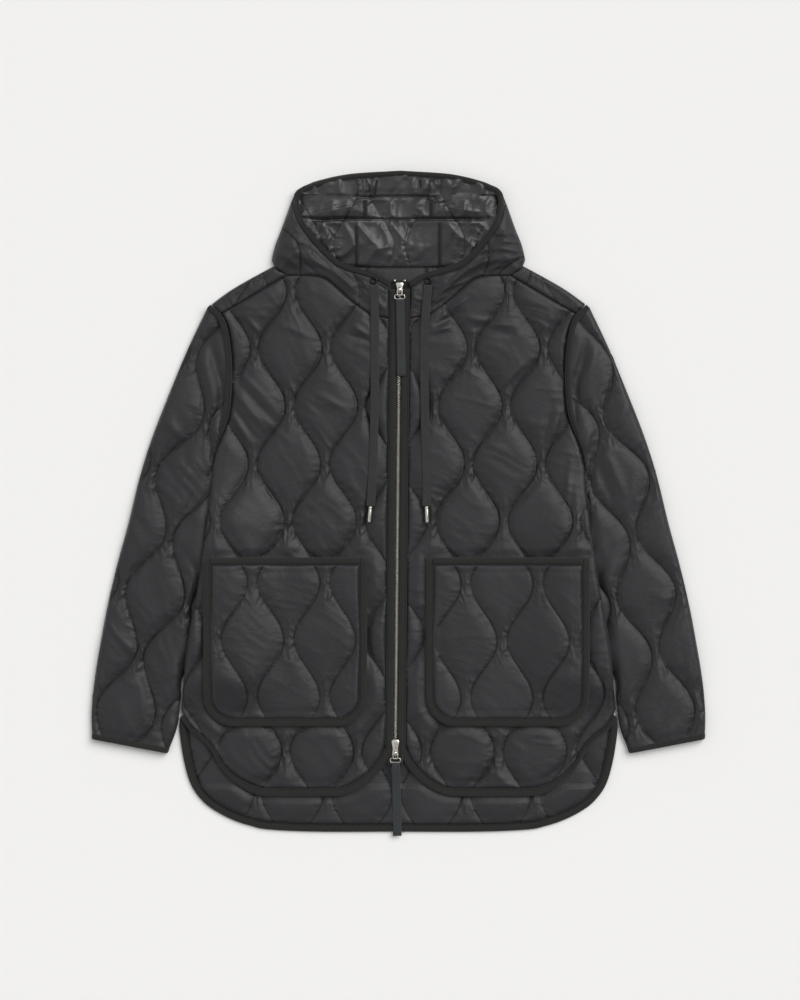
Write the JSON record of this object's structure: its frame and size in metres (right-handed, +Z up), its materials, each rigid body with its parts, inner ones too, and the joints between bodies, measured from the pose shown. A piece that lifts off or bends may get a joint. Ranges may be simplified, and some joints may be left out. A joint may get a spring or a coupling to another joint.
{
  "type": "hooded quilted jacket with a two-way zip, laid flat",
  "caption": "Hooded quilted jacket laid flat, front up: onion-quilted panels, bound edges, patch pockets, two-way zip with swinging pulls and flat drawcords.",
  "frame": {"origin": "on the surface that the jacket lies on, under the middle of its box", "axes": "+Z up out of the jacket's front, +Y towards the hood, +X to the viewer's right"},
  "size_m": [0.858, 0.9291, 0.0282],
  "materials": {
    "quilted_shell": "charcoal satin nylon quilted over wadding",
    "binding_tape": "matte ribbed binding tape, near black",
    "zip_tape": "matte woven zip tape, near black",
    "strap_webbing": "matte woven pull strap, blue-grey",
    "cord_braid": "matte flat braided drawcord, warm charcoal",
    "nickel": "antique nickel, polished on the high spots",
    "black_metal": "black coated metal, satin"
  },
  "bodies": {
    "jacket": {"back": "quilted_shell", "front_left": "quilted_shell", "front_right": "quilted_shell", "sleeve_left": "quilted_shell", "sleeve_right": "quilted_shell", "hood_centre": "quilted_shell", "hood_side_left": "quilted_shell", "hood_side_right": "quilted_shell", "pocket_left": "quilted_shell", "pocket_right": "quilted_shell", "pocket_binding_left": "binding_tape", "pocket_binding_right": "binding_tape", "front_binding_left": "binding_tape", "front_binding_right": "binding_tape", "back_hem_binding": "binding_tape", "cuff_binding_left": "binding_tape", "cuff_binding_right": "binding_tape", "hood_rim_binding": "binding_tape", "armhole_binding_left": "binding_tape", "armhole_binding_right": "binding_tape", "zip_tape_left": "zip_tape", "zip_tape_right": "zip_tape", "zip_chain_left": "nickel", "zip_chain_right": "nickel", "zip_stop_left": "nickel", "zip_stop_right": "nickel", "slider_top": "nickel", "slider_bottom": "nickel", "drawcord_left": "cord_braid", "drawcord_right": "cord_braid", "cord_tip_left": "nickel", "cord_tip_right": "nickel", "eyelet_left": "black_metal", "eyelet_right": "black_metal"},
    "pull_top": {"pull_ring_top": "nickel", "pull_strap_top": "strap_webbing"},
    "pull_bottom": {"pull_ring_bottom": "nickel", "pull_strap_bottom": "strap_webbing"}
  },
  "joints": [
    {"name": "pull_top_swing", "type": "hinge", "parent": "jacket", "child": "pull_top", "pos_m": [0.00173, 0.2969, 0.0147], "axis": [-1, 0, 0], "range_deg": [0, 150]},
    {"name": "pull_bottom_swing", "type": "hinge", "parent": "jacket", "child": "pull_bottom", "pos_m": [-0.00431, -0.3496, 0.0147], "axis": [-1, 0, 0], "range_deg": [0, 150]}
  ]
}
